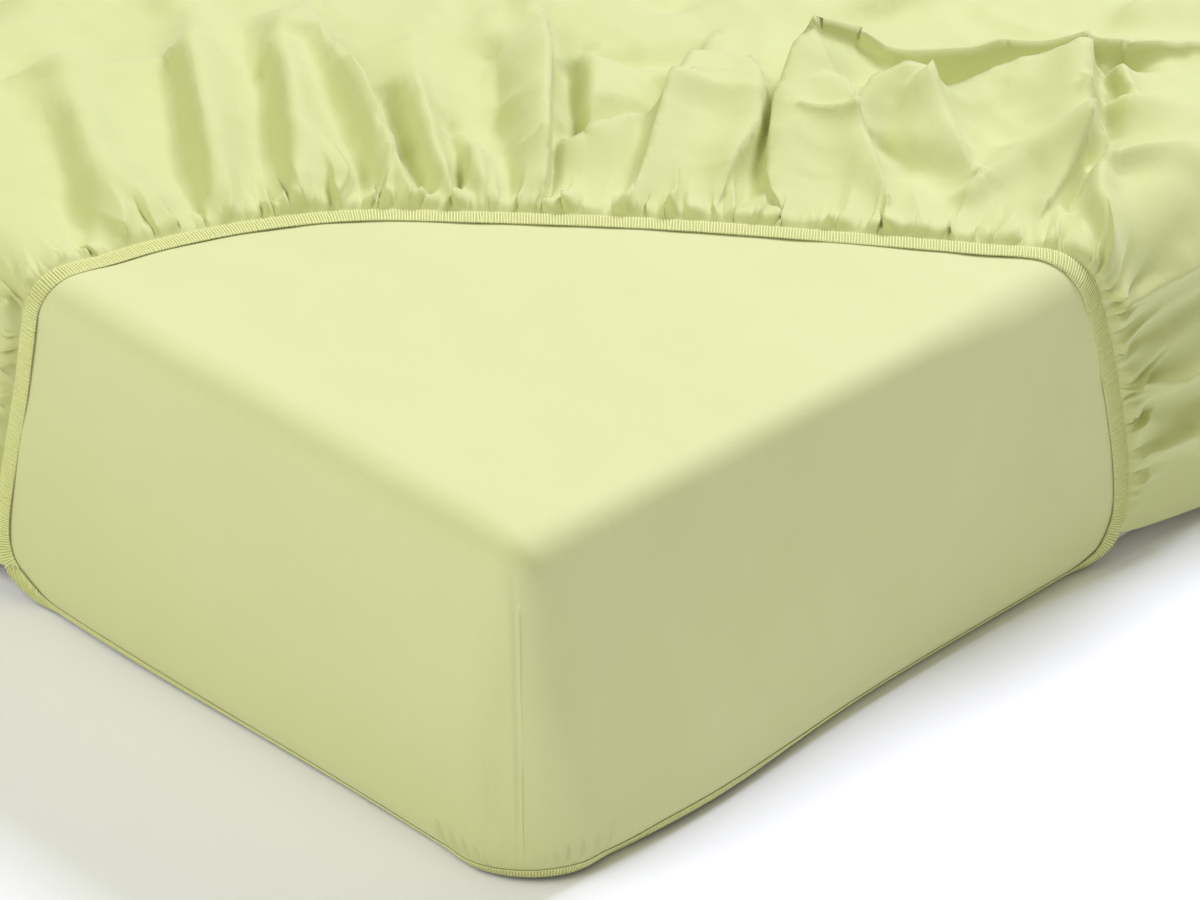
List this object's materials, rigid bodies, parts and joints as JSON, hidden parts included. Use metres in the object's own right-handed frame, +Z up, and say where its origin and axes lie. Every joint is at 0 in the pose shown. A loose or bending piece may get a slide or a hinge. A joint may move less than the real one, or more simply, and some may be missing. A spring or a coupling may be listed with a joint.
{
  "type": "fitted sheet on a mattress",
  "caption": "Plain pale yellow-green fitted sheet hooked over one corner of a deep single mattress, its elastic edge turned back across the top and its gathered cloth lying in folds beyond.",
  "frame": {"origin": "middle of the mattress underside, on the surface it rests on", "axes": "+X along the mattress length, away from the hooked corner's short end; +Y across its width, away from the long side that the elastic edge climbs; +Z up"},
  "size_m": [2.0379, 1.0364, 0.3665],
  "materials": {
    "cotton": "smooth plain-weave cotton, matt with a soft sheen",
    "elastic": "ribbed overlocked elastic, matt",
    "ticking": "plain off-white mattress cover, matt"
  },
  "bodies": {
    "root": {"mattress": "ticking", "sheet": "cotton", "elastic_edge": "elastic"}
  },
  "joints": []
}
